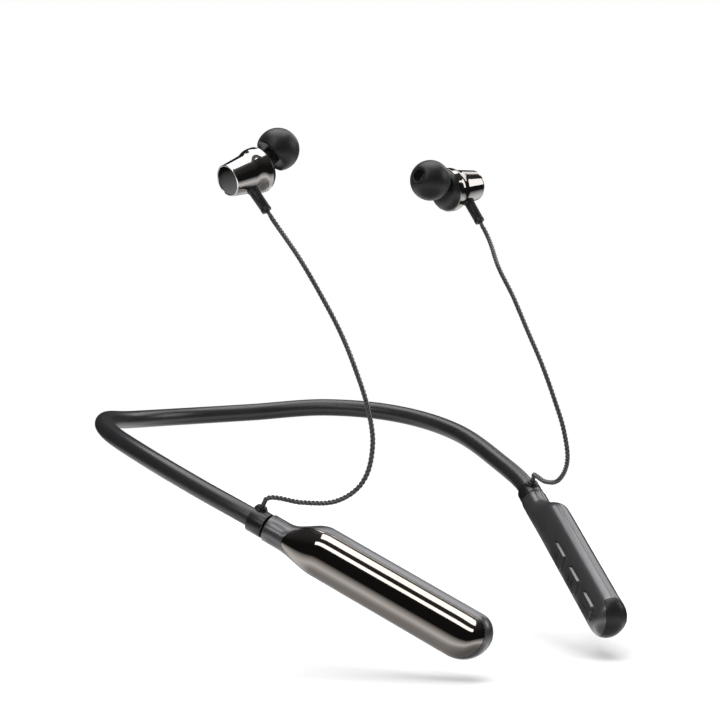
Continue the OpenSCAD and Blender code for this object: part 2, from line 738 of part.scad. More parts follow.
neckband_sleeve();
spring_wire();
signal_cable();
collar("left");  // collar_left
collar("right");  // collar_right
cord_grommet("left");  // cord_grommet_left
cord_grommet("right");  // cord_grommet_right
wire_anchor("left");  // wire_anchor_left
wire_anchor("right");  // wire_anchor_right
inner_shell("left");  // pod_left_inner_shell
outer_shell("left");  // pod_left_outer_shell
cover_plate("left");  // pod_left_cover_plate
inner_shell("right");  // pod_right_inner_shell
outer_shell("right");  // pod_right_outer_shell
cover_plate("right");  // pod_right_cover_plate
main_board();
bluetooth_module();
tact_switches();
microphone();
usb_socket();
button(0);  // button_plus
button(1);  // button_play
button(2);  // button_minus
port_cover();
port_cover_anchor();
battery_cell();
battery_foam_pad();
battery_protection_board();
cord_left();
cord_right();
bud_housing("left");  // bud_left_housing
bud_rear_disc("left");  // bud_left_rear_disc
bud_magnet("left");  // bud_left_magnet
bud_driver_frame("left");  // bud_left_driver_frame
bud_driver_magnet("left");  // bud_left_driver_magnet
bud_diaphragm("left");  // bud_left_diaphragm
bud_baffle("left");  // bud_left_baffle
bud_nozzle_mesh("left");  // bud_left_nozzle_mesh
bud_ear_tip("left");  // bud_left_ear_tip
bud_strain_relief("left");  // bud_left_strain_relief
bud_housing("right");  // bud_right_housing
bud_rear_disc("right");  // bud_right_rear_disc
bud_magnet("right");  // bud_right_magnet
bud_driver_frame("right");  // bud_right_driver_frame
bud_driver_magnet("right");  // bud_right_driver_magnet
bud_diaphragm("right");  // bud_right_diaphragm
bud_baffle("right");  // bud_right_baffle
bud_nozzle_mesh("right");  // bud_right_nozzle_mesh
bud_ear_tip("right");  // bud_right_ear_tip
bud_strain_relief("right");  // bud_right_strain_relief
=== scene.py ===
"""Neckband earphones: looks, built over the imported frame.

Sizes are in millimetres unless a name says otherwise.
"""
import bpy
from math import atan2, cos, pi, radians, sin, sqrt
from mathutils import Matrix, Vector


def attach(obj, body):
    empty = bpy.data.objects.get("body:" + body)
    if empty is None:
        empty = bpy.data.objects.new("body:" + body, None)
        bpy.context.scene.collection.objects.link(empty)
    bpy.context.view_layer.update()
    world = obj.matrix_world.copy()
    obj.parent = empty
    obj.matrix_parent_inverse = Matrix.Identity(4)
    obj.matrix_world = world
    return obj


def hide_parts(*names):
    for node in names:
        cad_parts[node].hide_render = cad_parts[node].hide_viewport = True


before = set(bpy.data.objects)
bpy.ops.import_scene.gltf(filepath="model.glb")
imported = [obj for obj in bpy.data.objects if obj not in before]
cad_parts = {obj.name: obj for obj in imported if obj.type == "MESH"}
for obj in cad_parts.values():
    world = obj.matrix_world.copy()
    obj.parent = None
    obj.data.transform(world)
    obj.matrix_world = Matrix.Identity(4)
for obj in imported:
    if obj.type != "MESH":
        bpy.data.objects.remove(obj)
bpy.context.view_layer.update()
MM = 0.001

# ---------------------------------------------------------------- camera
bpy.ops.object.camera_add(location=(-0.4395, -0.6145, 0.0582))
camera = bpy.context.object
camera.data.lens = 118.75
camera.data.sensor_width = 36
camera.data.clip_start = 0.01
aim = Vector((0.01964, -0.06199, 0.02015)) - camera.location
camera.rotation_euler = aim.to_track_quat("-Z", "Y").to_euler()
bpy.context.scene.camera = camera
bpy.context.scene.view_settings.view_transform = "Standard"

# ---------------------------------------------------------------- sizes shared with the construction
BAND_D, COLLAR_D, COLLAR_LEN, GROOVE, CORD_D = 5.4, 7.2, 5.0, 0.6, 1.4
POD_LEN, POD_W, POD_T, POD_R, NECK_D, WALL = 70.5, 14.4, 9.8, 3.6, 7.8, 1.2
BODY_OUT, BODY_UP = (POD_T - NECK_D) / 2, 1.9
END_LAND, STRIP_Y = 4.35, -2.4
PLATE_RIM, PLATE_FROM, PLATE_ARCH, PLATE_POINT_Z, PLATE_LOW = 0.9, 7.0, 14.0, -2.2, 0.8
TIP_Z, TIP_UPPER, TIP_LOWER, TIP_SIDE = 1.2, 5.0, 9.0, 4.2
BUTTON_L, BUTTON_W, BUTTON_R, BUTTON_Z, BUTTON_RISE = 8.8, 4.6, 1.4, 1.1, 0.8
BUTTON_X = [35.2, 48.0, 60.8]
BUD_LEN, BUD_R, REAR_R, WAIST_R, BELL_FROM, BELL_TO = 11.5, 6.5, 4.5, 5.45, 6.5, 9.8
RELIEF_Z, RELIEF_LEN = 5.6, 12.6

toe, pitch = radians(25.2), radians(25)
pod_at = Vector((50, -106.5, -21))
along = Vector((-cos(pitch) * sin(toe), -cos(pitch) * cos(toe), -sin(pitch)))
outward = Vector((cos(toe), -sin(toe), 0))
upward = along.cross(outward)


def frame_of(origin, x_axis, y_axis, z_axis):
    """The place of something drawn in millimetres on its own axes."""
    place = Matrix((x_axis, y_axis, z_axis)).transposed().to_4x4()
    place.translation = origin
    return Matrix.Scale(MM, 4) @ place @ Matrix.Scale(1 / MM, 4)


FLIP = Matrix.Scale(-1, 4, (1, 0, 0))
neck_place = frame_of(pod_at, along, outward, upward)
body_place = frame_of(pod_at + outward * BODY_OUT + upward * BODY_UP, along, outward, upward)
# A turned piece is drawn along +Z; this lays it along +X.
LIE_ALONG = Matrix.Rotation(pi / 2, 4, "Y")


def on_side(side, place):
    return place if side == "left" else FLIP @ place


bud_at = Vector((-46.3, -83.9, 72.8))
BUD_LEAN = radians(-34)
BUD_TILT = {"left": radians(8), "right": radians(-17)}


def bud_place(side):
    """The earbud's frame: +Z from its back to the ear, with the cord toward -Y."""
    turn = Matrix.Rotation(BUD_TILT[side], 4, "Y") @ Matrix.Rotation(BUD_LEAN, 4, "X")
    axes = turn @ Matrix(((0, 0, 1, 0), (1, 0, 0, 0), (0, 1, 0, 0), (0, 0, 0, 1)))
    place = Matrix.Translation(bud_at * MM) @ axes
    return FLIP @ place if side == "left" else place


lean = Vector((-sin(radians(54)), cos(radians(54)), 0))
nozzle_place = (Matrix.Translation((Vector((0, 0, BUD_LEN)) + lean * 0.9) * MM)
                @ Matrix.Rotation(radians(24), 4, Vector((0, 0, 1)).cross(lean)))

# ---------------------------------------------------------------- the cords' routes
left_cord_way = [(36, -106, 48), (35, -113, 40), (34.5, -119.5, 30.5), (34.5, -125.5, 21), (35, -130, 11.5),
                 (36, -133, 2.5), (38.5, -132, -6.5), (42.5, -124.5, -13), (46, -115.5, -14.5),
                 (48.5, -109, -13.5)]
right_cord_way = [(38, -105, 52), (36, -112, 42), (34.5, -119, 31.5), (34.5, -125.5, 21.5),
                  (34.5, -130.5, 11.5), (35, -133, 2), (37, -131.5, -7.5), (40.5, -125, -13),
                  (45, -115.5, -14), (49, -108, -13)]


def smooth_line(points, step, first, last):
    """A line through the points that leaves along first and arrives along last."""
    between = [(points[i + 1] - points[i - 1]).normalized() for i in range(1, len(points) - 1)]
    heading = [first] + between + [last]
    line = []
    for i in range(len(points) - 1):
        a, b = points[i], points[i + 1]
        reach = (b - a).length
        count = max(1, round(reach / step))
        for k in range(count):
            t = k / count
            line.append((2 * t**3 - 3 * t**2 + 1) * a + (t**3 - 2 * t**2 + t) * reach * heading[i]
                        + (3 * t**2 - 2 * t**3) * b + (t**3 - t**2) * reach * heading[i + 1])
    return line + [points[-1]]


def cord_route(side, step):
    """From the collar to the earbud's strain relief, in millimetres on the left side."""
    turn = Matrix.Rotation(BUD_TILT[side], 3, "Y") @ Matrix.Rotation(BUD_LEAN, 3, "X")
    mirror = Vector((-1, 1, 1))
    out = turn @ Vector((0, -1, 0)).zxy
    start = bud_at + turn @ Vector((0, 0.8 - RELIEF_LEN, RELIEF_Z)).zxy
    way, start = out * mirror, start * mirror
    leave = pod_at + along * -3.6 + upward * (BAND_D / 2 + 0.15)
    above = leave + upward * (1.6 + COLLAR_D / 2 + 0.8 - BAND_D / 2 - 0.05)
    passed = left_cord_way if side == "left" else right_cord_way
    points = [start + way * 2.8] + [Vector(p) for p in passed] + [above]
    route = [start] + smooth_line(points, step, way, -upward) + [leave]
    if side == "right":
        route = [Vector((-p.x, p.y, p.z)) for p in route]
    return [p * MM for p in reversed(route)]


# ---------------------------------------------------------------- hand tools
def clear_selection():
    if bpy.context.mode != "OBJECT":
        bpy.ops.object.mode_set(mode="OBJECT")
    bpy.ops.object.select_all(action="DESELECT")


def take(piece):
    clear_selection()
    piece.select_set(True)
    bpy.context.view_layer.objects.active = piece


def edit_all(piece):
    take(piece)
    bpy.ops.object.mode_set(mode="EDIT")
    bpy.ops.mesh.select_all(action="SELECT")


def named(name):
    piece = bpy.context.object
    piece.name = piece.data.name = name
    return piece


def copy_of(piece, name):
    twin = piece.copy()
    twin.data = piece.data.copy()
    twin.name = twin.data.name = name
    bpy.context.collection.objects.link(twin)
    return twin


def modify(piece, kind, **settings):
    take(piece)
    modifier = piece.modifiers.new(kind, kind)
    for key, value in settings.items():
        setattr(modifier, key, value)
    bpy.ops.object.modifier_apply(modifier=modifier.name)


def cut(piece, tool, operation="DIFFERENCE", keep_tool=False):
    modify(piece, "BOOLEAN", operation=operation, object=tool, solver="EXACT")
    if not keep_tool:
        bpy.data.objects.remove(tool)


def round_edges(piece, width, segments=3, angle=40):
    modify(piece, "BEVEL", width=width * MM, segments=segments, limit_method="ANGLE",
           angle_limit=radians(angle), use_clamp_overlap=True, harden_normals=False)


def settle(piece, place):
    """Moves a finished shape to its place, with the place in its mesh, and turns its faces outward."""
    piece.data.transform(place)
    edit_all(piece)
    bpy.ops.mesh.normals_make_consistent(inside=False)
    clear_selection()


def join(pieces):
    clear_selection()
    for piece in pieces:
        piece.select_set(True)
    bpy.context.view_layer.objects.active = pieces[0]
    bpy.ops.object.join()
    return pieces[0]


def one_vertex(name, at):
    clear_selection()
    bpy.ops.mesh.primitive_plane_add(size=MM, location=(0, 0, 0))
    piece = named(name)
    edit_all(piece)
    bpy.ops.mesh.merge(type="CENTER")
    bpy.ops.transform.translate(value=Vector(at) * MM)
    return piece


def draw_on(points):
    for a, b in zip(points, points[1:]):
        bpy.ops.mesh.extrude_vertices_move(TRANSFORM_OT_translate={"value": (Vector(b) - Vector(a)) * MM})


def turned(name, profile, steps=64):
    """A lathe-turned shape from (radius, height) pairs."""
    points = [(r, 0, z) for r, z in profile]
    piece = one_vertex(name, points[0])
    draw_on(points)
    bpy.ops.mesh.select_all(action="SELECT")
    bpy.ops.mesh.spin(steps=steps, angle=2 * pi, center=(0, 0, 0), axis=(0, 0, 1))
    bpy.ops.mesh.select_all(action="SELECT")
    bpy.ops.mesh.remove_doubles(threshold=0.002 * MM)
    bpy.ops.mesh.normals_make_consistent(inside=False)
    clear_selection()
    return piece


def sawn(name, outline, low, high):
    """A shape sawn from sheet: an outline of (x, z) pairs, from y = low to y = high."""
    points = [(x, low, z) for x, z in outline]
    piece = one_vertex(name, points[0])
    draw_on(points)
    bpy.ops.mesh.select_all(action="SELECT")
    bpy.ops.mesh.edge_face_add()
    bpy.ops.mesh.extrude_region_move(TRANSFORM_OT_translate={"value": (0, (high - low) * MM, 0)})
    bpy.ops.mesh.select_all(action="SELECT")
    bpy.ops.mesh.normals_make_consistent(inside=False)
    clear_selection()
    return piece


def brick(name, low, high):
    corners = [(low[0], low[2]), (high[0], low[2]), (high[0], high[2]), (low[0], high[2])]
    return sawn(name, corners, low[1], high[1])


def slice_at(piece, at, normal, fill=False):
    """Cuts away what lies on the normal's side of a plane."""
    edit_all(piece)
    bpy.ops.mesh.bisect(plane_co=Vector(at) * MM, plane_no=normal, use_fill=fill, clear_outer=True)
    clear_selection()


def piped(name, line, diameter, rounds=6):
    """A round bar along a line of points in metres."""
    clear_selection()
    curve = bpy.data.curves.new(name, "CURVE")
    curve.dimensions = "3D"
    spline = curve.splines.new("POLY")
    spline.points.add(len(line) - 1)
    for point, place in zip(spline.points, line):
        point.co = (*place, 1)
    curve.bevel_depth = diameter / 2 * MM
    curve.bevel_resolution = rounds
    curve.use_fill_caps = True
    piece = bpy.data.objects.new(name, curve)
    bpy.context.collection.objects.link(piece)
    take(piece)
    bpy.ops.object.convert(target="MESH")
    return bpy.context.object


def ready(piece, material, node, body="body", angle=30):
    """Smooths a piece, gives it its finish, and lets it stand for its CAD node."""
    take(piece)
    bpy.ops.object.shade_smooth_by_angle(angle=radians(angle))
    piece.data.materials.clear()
    piece.data.materials.append(material)
    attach(piece, body)
    if node:
        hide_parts(node)
    clear_selection()


# ---------------------------------------------------------------- finishes
def linear(code, alpha=1.0):
    """An sRGB hex colour as the linear colour that shaders take."""
    parts = [int(code[i:i + 2], 16) / 255 for i in (1, 3, 5)]
    return tuple(p / 12.92 if p <= 0.04045 else ((p + 0.055) / 1.055) ** 2.4 for p in parts) + (alpha,)


def add_node(tree, kind, inputs=(), **settings):
    """Adds a node; an input is a plain value or another node's output."""
    made = tree.nodes.new(kind)
    for key, value in settings.items():
        setattr(made, key, value)
    for key, value in dict(inputs).items():
        if isinstance(value, bpy.types.NodeSocket):
            tree.links.new(value, made.inputs[key])
        else:
            made.inputs[key].default_value = value
    return made


def finish_of(name, colours, roughness, grain, bump, metallic=0.0, ior=1.5, stretch=(1, 1, 1), **shader):
    """A finish with colour and roughness that vary over `grain` mm and a relief of `bump` mm."""
    material = bpy.data.materials.new(name)
    material.use_nodes = True
    tree = material.node_tree
    gloss = tree.nodes["Principled BSDF"]
    place = add_node(tree, "ShaderNodeTexCoord").outputs["Object"]
    mapped = add_node(tree, "ShaderNodeMapping", {"Vector": place, "Scale": stretch}).outputs["Vector"]
    fine = add_node(tree, "ShaderNodeTexNoise", {"Vector": mapped, "Scale": 1 / (grain * MM), "Detail": 4.0})
    broad = add_node(tree, "ShaderNodeTexNoise", {"Vector": place, "Scale": 1 / (14 * MM), "Detail": 2.0})
    tint = add_node(tree, "ShaderNodeMix", {
        0: broad.outputs["Fac"], 6: linear(colours[0]), 7: linear(colours[1])}, data_type="RGBA")
    tree.links.new(tint.outputs[2], gloss.inputs["Base Color"])
    both = add_node(tree, "ShaderNodeMath", {0: fine.outputs["Fac"], 1: broad.outputs["Fac"]},
                    operation="MULTIPLY")
    rough = add_node(tree, "ShaderNodeMapRange", {"Value": both.outputs[0], "From Min": 0.1, "From Max": 0.45,
                                                  "To Min": roughness[0], "To Max": roughness[1]})
    tree.links.new(rough.outputs["Result"], gloss.inputs["Roughness"])
    if bump:
        relief = add_node(tree, "ShaderNodeBump", {"Height": fine.outputs["Fac"], "Distance": bump * MM,
                                                   "Strength": 0.6})
        tree.links.new(relief.outputs["Normal"], gloss.inputs["Normal"])
    gloss.inputs["Metallic"].default_value = metallic
    if not metallic:
        gloss.inputs["IOR"].default_value = ior
    for key, value in shader.items():
        gloss.inputs[key.replace("_", " ")].default_value = value
    return material


# Moulded silicone rubber: soft black with broad, blurred highlights
silicone = finish_of("moulded_silicone_rubber", ("#202022", "#29292b"), (0.28, 0.38), 0.5, 0.003, ior=1.5)
# Dark nickel vapour-coated on polished plastic: a warm grey mirror
dark_nickel = finish_of("dark_nickel_mirror_coating", ("#857f7a", "#908a85"), (0.04, 0.075), 3.0, 0,
                        metallic=1.0)
# The same coating on turned aluminium
dark_nickel_turned = finish_of("dark_nickel_on_turned_aluminium", ("#8f8b88", "#9b9794"), (0.05, 0.09),
                               2.0, 0, metallic=1.0)
# The housing's back edge, cut with a diamond after coating: bare bright aluminium
bright_cut = finish_of("diamond_cut_aluminium_edge", ("#eeece8", "#f6f5f2"), (0.16, 0.24), 0.2, 0.001,
                       metallic=1.0)
# ABS with a satin charcoal paint that holds a little aluminium flake
charcoal_paint = finish_of("satin_charcoal_paint_on_abs", ("#58585a", "#636365"), (0.27, 0.36), 0.35, 0.003,
                           metallic=0.7, Coat_Weight=0.15, Coat_Roughness=0.3)
black_abs = finish_of("black_moulded_abs", ("#121213", "#1a1a1b"), (0.28, 0.4), 0.4, 0.004)
gloss_black = finish_of("polished_black_acrylic", ("#040405", "#08080a"), (0.04, 0.09), 2.0, 0,
                        Coat_Weight=0.6, Coat_Roughness=0.03)
black_rubber = finish_of("black_moulded_rubber", ("#171718", "#1f1f20"), (0.34, 0.46), 0.3, 0.006, ior=1.42)
tip_silicone = finish_of("satin_silicone_ear_tip", ("#111112", "#18181a"), (0.36, 0.48), 0.5, 0.003, ior=1.42,
                         Sheen_Weight=0.1, Sheen_Roughness=0.4)
cord_jacket = finish_of("twisted_tpe_cord_jacket", ("#373739", "#49494b"), (0.18, 0.26), 0.3, 0.003, ior=1.55)
hidden = {
    "steel": finish_of("drawn_spring_steel", ("#a9a9ac", "#b9b9bd"), (0.2, 0.34), 0.4, 0.002, metallic=1.0),
    "board": finish_of("green_solder_mask_on_glass_epoxy", ("#0d4a2a", "#146036"), (0.3, 0.45), 0.3, 0.004),
    "can": finish_of("tin_plated_shield", ("#b4b5b8", "#c6c7ca"), (0.25, 0.4), 0.5, 0.003, metallic=1.0),
    "foil": finish_of("aluminium_laminate_pouch", ("#b9babd", "#cfd0d3"), (0.3, 0.5), 1.2, 0.03,
                      metallic=1.0),
    "foam": finish_of("closed_cell_foam", ("#3a3a3d", "#505054"), (0.8, 0.95), 0.5, 0.06),
    "brass": finish_of("turned_brass", ("#b08d4a", "#c29f5c"), (0.22, 0.35), 0.4, 0.003, metallic=1.0),
    "film": finish_of("amber_polymer_film", ("#a8803a", "#b98f46"), (0.2, 0.35), 0.5, 0.003),
    "mesh": finish_of("woven_steel_gauze", ("#8f9092", "#b0b1b3"), (0.3, 0.5), 0.12, 0.03, metallic=1.0),
    "switch": finish_of("grey_nylon_switch_body", ("#303032", "#3a3a3c"), (0.4, 0.55), 0.3, 0.004),
    "cable": finish_of("pvc_cable_jacket", ("#151516", "#1e1e1f"), (0.35, 0.5), 0.4, 0.003),
}
carried = {
    "spring_wire": "steel", "signal_cable": "cable",
    "wire_anchor_left": "brass", "wire_anchor_right": "brass",
    "main_board": "board", "bluetooth_module": "can", "tact_switches": "switch", "microphone": "can",
    "usb_socket": "can", "port_cover_anchor": "cable", "battery_cell": "foil", "battery_foam_pad": "foam",
    "battery_protection_board": "board",
}
for ear in ("left", "right"):
    carried.update({f"bud_{ear}_magnet": "steel", f"bud_{ear}_driver_frame": "steel",
                    f"bud_{ear}_driver_magnet": "steel", f"bud_{ear}_diaphragm": "film",
                    f"bud_{ear}_nozzle_mesh": "mesh"})
for node_name, key in carried.items():
    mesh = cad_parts[node_name].data
    mesh.materials.clear()
    mesh.materials.append(hidden[key])

# ---------------------------------------------------------------- cords: three strands twisted together
STRAND_D, STRAND_OFFSET, LAY_LENGTH = 0.6, 0.41, 3.6


def cord(side):
    line = cord_route(side, 0.3)
    steps = [(b - a).length for a, b in zip(line, line[1:])]
    across = Vector((1, 0, 0))
    strands = [[], [], []]
    gone = 0.0
    for i, point in enumerate(line):
        ahead = (line[min(i + 1, len(line) - 1)] - line[max(i - 1, 0)]).normalized()
        across = (across - ahead * across.dot(ahead)).normalized()
        beside = ahead.cross(across)
        for k, strand in enumerate(strands):
            a = 2 * pi * (k / 3 + gone / (LAY_LENGTH * MM))
            strand.append(point + (across * cos(a) + beside * sin(a)) * STRAND_OFFSET * MM)
        gone += steps[min(i, len(steps) - 1)]
    piece = join([piped(f"cord_{side}_{k}", strand, STRAND_D, 2) for k, strand in enumerate(strands)])
    piece.name = piece.data.name = f"twisted_cord_{side}"
    ready(piece, cord_jacket, f"cord_{side}", angle=60)


for ear in ("left", "right"):
    cord(ear)

# ---------------------------------------------------------------- neckband
band_half = [Vector(p) for p in ((0, BAND_D / 2, 0), (23.5, -2.5, 0.5), (42.5, -17, 2), (55, -38, 0.5),
                                 (59.5, -61, -4), (57, -83.5, -11.5))] + [pod_at - along * COLLAR_LEN]
left_half = smooth_line(band_half, 1.2, Vector((1, 0, 0)), along) + [pod_at - along]
band_line = [Vector((-p.x, p.y, p.z)) for p in reversed(left_half[1:])] + left_half
band = piped("neckband_silicone_sleeve", [p * MM for p in band_line], BAND_D, 10)
ready(band, silicone, "neckband_sleeve")


# ---------------------------------------------------------------- collars and cord grommets
def collar(side):
    sleeve = turned("collar", [
        (2.75, -5), (3.35, -5), (3.52, -4.93), (3.6, -4.75), (3.6, -0.25), (3.5, -0.08), (3.3, 0),
        (2.2, 0), (2.2, 3.2), (1.5, 3.2), (1.5, -1), (2.75, -1), (2.75, -5)])
    sleeve.data.transform(LIE_ALONG)
    boss = turned("boss", [
        (1.3, 2.9), (1.95, 2.9), (1.9, 3.6), (1.78, 3.8), (1.6, 3.85), (1.3, 3.85), (1.3, 2.9)], 40)
    boss.data.transform(Matrix.Translation((-3.6 * MM, 0, 0)))
    piece = join([sleeve, boss])
    piece.name = piece.data.name = f"moulded_collar_{side}"
    settle(piece, on_side(side, neck_place))
    ready(piece, black_abs, f"collar_{side}")
    grommet = turned(f"cord_seal_{side}", [
        (0.75, 2.75), (1.18, 2.75), (1.18, 3.92), (1.45, 3.95), (1.5, 4.05), (1.48, 4.25), (1.35, 4.38),
        (1.1, 4.4), (0.85, 4.36), (0.75, 4.2), (0.75, 2.75)], 40)
    grommet.data.transform(Matrix.Translation((-3.6 * MM, 0, 0)))
    settle(grommet, on_side(side, neck_place))
    ready(grommet, black_rubber, f"cord_grommet_{side}")


for ear in ("left", "right"):
    collar(ear)


# ---------------------------------------------------------------- pods
def ease(t):
    t = min(1, max(0, t))
    return t * t * (3 - 2 * t)


def quarter(x, start, reach, half, low):
    """How far the tip's quarter ellipse stands from its axis at x."""
    t = min(1, max(0, (x - start) / reach))
    return low + half * sqrt(1 - t * t)


def section(x):
    """The pod's lowest and highest y and z at x."""
    grow = ease((x - 5.5) / 12.5)
    radius = NECK_D / 2
    out = radius - BODY_OUT + (POD_T / 2 - radius + BODY_OUT) * grow
    top = radius - BODY_UP + (POD_W / 2 - radius + BODY_UP) * grow
    low = -radius - BODY_UP - (POD_W / 2 - radius - BODY_UP) * grow
    side = POD_T / 2
    if x > POD_LEN - TIP_SIDE:
        out = side = quarter(x, POD_LEN - TIP_SIDE, TIP_SIDE, TIP_SIDE, POD_T / 2 - TIP_SIDE)
    if x > POD_LEN - TIP_UPPER:
        top = quarter(x, POD_LEN - TIP_UPPER, TIP_UPPER, POD_W / 2 - TIP_Z, TIP_Z)
    if x > POD_LEN - TIP_LOWER:
        low = TIP_Z - quarter(x, POD_LEN - TIP_LOWER, TIP_LOWER, POD_W / 2 + TIP_Z, 0)
    return -side, out, low, top


def oval(angle):
    """The pod's four-arc section, as a point at an angle from its middle."""
    face = ((POD_T / 2) ** 2 + (POD_W / 2 - POD_R) ** 2 - POD_R**2) / (POD_T - 2 * POD_R)
    off = face - POD_T / 2
    c, s = cos(angle), sin(angle)
    share = face / (face - POD_R)
    if abs(s) * off * (share - 1) > abs(c) * (POD_W / 2 - POD_R) * share:
        reach = 2 * POD_R * abs(s)
    else:
        reach = sqrt((off * c) ** 2 + face**2 - off**2) - off * abs(c)
    return reach * c, reach * s


def pod_skin():
    # close together over the shoulder, wide apart along the body, and closest at the tip
    stations = [GROOVE, GROOVE + 0.12, 3, 5.5]
    stations += [6.5 + i for i in range(12)]
    stations += [19 + 2.4 * i for i in range(18)]
    tip_angles = (0, 8, 16, 23, 30, 36, 42, 47, 52, 57, 61, 65, 69, 72, 75, 78, 81, 84, 86, 88)
    stations += [POD_LEN - TIP_LOWER + TIP_LOWER * sin(radians(a)) for a in tip_angles]
    clear_selection()
    bpy.ops.mesh.primitive_circle_add(vertices=96, radius=MM)
    skin = named("pod_skin")
    inner, out, low, top = section(stations[0])
    small = 0.95
    for i, vertex in enumerate(skin.data.vertices):
        y, z = oval(2 * pi * i / 96)
        vertex.co = Vector((stations[0], (inner + out) / 2 + y * (out - inner) / POD_T * small,
                            (low + top) / 2 + z * (top - low) / POD_W * small)) * MM
    edit_all(skin)
    bpy.ops.mesh.edge_face_add()
    before = [(out - inner) * small, (top - low) * small, (inner + out) / 2, (low + top) / 2, stations[0]]
    for x in stations[1:]:
        inner, out, low, top = section(x)
        now = [out - inner, top - low, (inner + out) / 2, (low + top) / 2, x]
        step = Vector((x - before[4], now[2] - before[2], now[3] - before[3])) * MM
        bpy.ops.mesh.extrude_region_move(TRANSFORM_OT_translate={"value": step})
        bpy.ops.transform.resize(value=(1, now[0] / before[0], now[1] / before[1]),
                                 center_override=Vector((x, now[2], now[3])) * MM)
        before = now
    bpy.ops.mesh.select_all(action="SELECT")
    bpy.ops.mesh.normals_make_consistent(inside=False)
    clear_selection()
    return skin


def tip_outline(inset):
    upper = [(POD_LEN - TIP_UPPER + (TIP_UPPER - inset) * sin(radians(a)),
              TIP_Z + (POD_W / 2 - TIP_Z - inset) * cos(radians(a))) for a in range(0, 91, 6)]
    lower = [(POD_LEN - TIP_LOWER + (TIP_LOWER - inset) * sin(radians(a)),
              TIP_Z - (POD_W / 2 + TIP_Z - inset) * cos(radians(a))) for a in range(84, -1, -6)]
    return upper + lower


def plate_outline(extra, stop):
    half = POD_W / 2 - PLATE_RIM + extra
    start, arch = PLATE_FROM + PLATE_ARCH, PLATE_ARCH + extra
    line = [(min(x, stop + extra), z) for x, z in tip_outline(PLATE_RIM - extra)]
    line += [(start - arch * sin(radians(a)), PLATE_POINT_Z - (half + PLATE_POINT_Z) * cos(radians(a)))
             for a in range(0, 91, 5)]
    line += [(start - arch * sin(radians(a)), PLATE_POINT_Z + (half - PLATE_POINT_Z) * cos(radians(a)))
             for a in range(85, -1, -5)]
    kept = []
    for point in line:
        if not kept or (Vector(point) - Vector(kept[-1])).length > 0.01:
            kept.append(point)
    return kept


def slot_outline(x, z, length, width, radius):
    line = []
    for cx, cz, start in ((1, 1, 0), (-1, 1, 90), (-1, -1, 180), (1, -1, 270)):
        for a in range(0, 91, 15):
            turn = radians(start + a)
            line.append((x + cx * (length / 2 - radius) + radius * cos(turn),
                         z + cz * (width / 2 - radius) + radius * sin(turn)))
    return line


skin = pod_skin()
port_x = POD_LEN - END_LAND


def pod(side):
    stop = POD_LEN - END_LAND - 0.9 if side == "left" else POD_LEN + 5
    # inner shell
    inner = copy_of(skin, f"pod_{side}_inner_moulding")
    slice_at(inner, (0, -0.1, 0), (0, 1, 0))
    modify(inner, "SOLIDIFY", thickness=WALL * MM, offset=-1, use_even_offset=True)
    if side == "left":
        for x in BUTTON_X:
            hole = slot_outline(x, BUTTON_Z, BUTTON_L + 0.4, BUTTON_W + 0.4, BUTTON_R + 0.2)
            cut(inner, sawn("slot", hole, -12, -2.6))
        cut(inner, brick("port_room", (port_x, STRIP_Y, -20), (80, 20, 20)))
    round_edges(inner, 0.2, 2)
    if side == "left":
        wall = copy_of(skin, "end_wall")
        slice_at(wall, (port_x, 0, 0), (1, 0, 0), True)
        slice_at(wall, (port_x - 1.3, 0, 0), (-1, 0, 0), True)
        wall.data.transform(Matrix.Diagonal((1, 0.9, 0.93, 1)))
        hole = sawn("port", slot_outline(-0.35, 0, 3.56, 9.24, 1.2), 60, 80)
        hole.data.transform(Matrix(((0, 1, 0, 0), (1, 0, 0, 0), (0, 0, 1, 0), (0, 0, 0, 1))))
        edit_all(hole)
        bpy.ops.mesh.normals_make_consistent(inside=False)
        clear_selection()
        cut(wall, hole)
        inner = join([inner, wall])
    settle(inner, on_side(side, body_place))
    ready(inner, charcoal_paint, f"pod_{side}_inner_shell")
    # outer shell: a rim round the cover plate
    outer = copy_of(skin, f"pod_{side}_outer_moulding")
    slice_at(outer, (0, 0.1, 0), (0, -1, 0))
    modify(outer, "SOLIDIFY", thickness=WALL * MM, offset=-1, use_even_offset=True)
    cut(outer, sawn("plate_room", plate_outline(0.1, stop), PLATE_LOW, 12))
    if side == "left":
        cut(outer, brick("port_room", (port_x, STRIP_Y, -20), (80, 20, 20)))
    round_edges(outer, 0.2, 2)
    settle(outer, on_side(side, body_place))
    ready(outer, charcoal_paint, f"pod_{side}_outer_shell")
    # polished cover plate
    plate = copy_of(skin, f"pod_{side}_polished_plate")
    slice_at(plate, (0, 0.3, 0), (0, -1, 0))
    modify(plate, "SOLIDIFY", thickness=MM, offset=-1, use_even_offset=True)
    cut(plate, sawn("plate_stock", plate_outline(0, stop), PLATE_LOW, 12), "INTERSECT")
    round_edges(plate, 0.16, 3)
    settle(plate, on_side(side, body_place))
    ready(plate, dark_nickel, f"pod_{side}_cover_plate")


for ear in ("left", "right"):
    pod(ear)


# ---------------------------------------------------------------- buttons and port cover
def button(name, x, marks):
    cap = copy_of(skin, f"{name}_cap")
    edit_all(cap)
    bpy.ops.transform.shrink_fatten(value=BUTTON_RISE * MM)
    clear_selection()
    outline = slot_outline(x, BUTTON_Z, BUTTON_L, BUTTON_W, BUTTON_R)
    cut(cap, sawn("cap_stock", outline, -12, -3.02), "INTERSECT")
    round_edges(cap, 0.5, 5)
    for mark in marks:
        cut(cap, sawn("mark", [(x + px, BUTTON_Z + pz) for px, pz in mark], -9, -5.3))
    settle(cap, body_place)
    ready(cap, charcoal_paint, name, body=name)


def bar_mark(length, width):
    x, z = length / 2, width / 2
    return [(-x, -z), (x, -z), (x, z), (-x, z)]


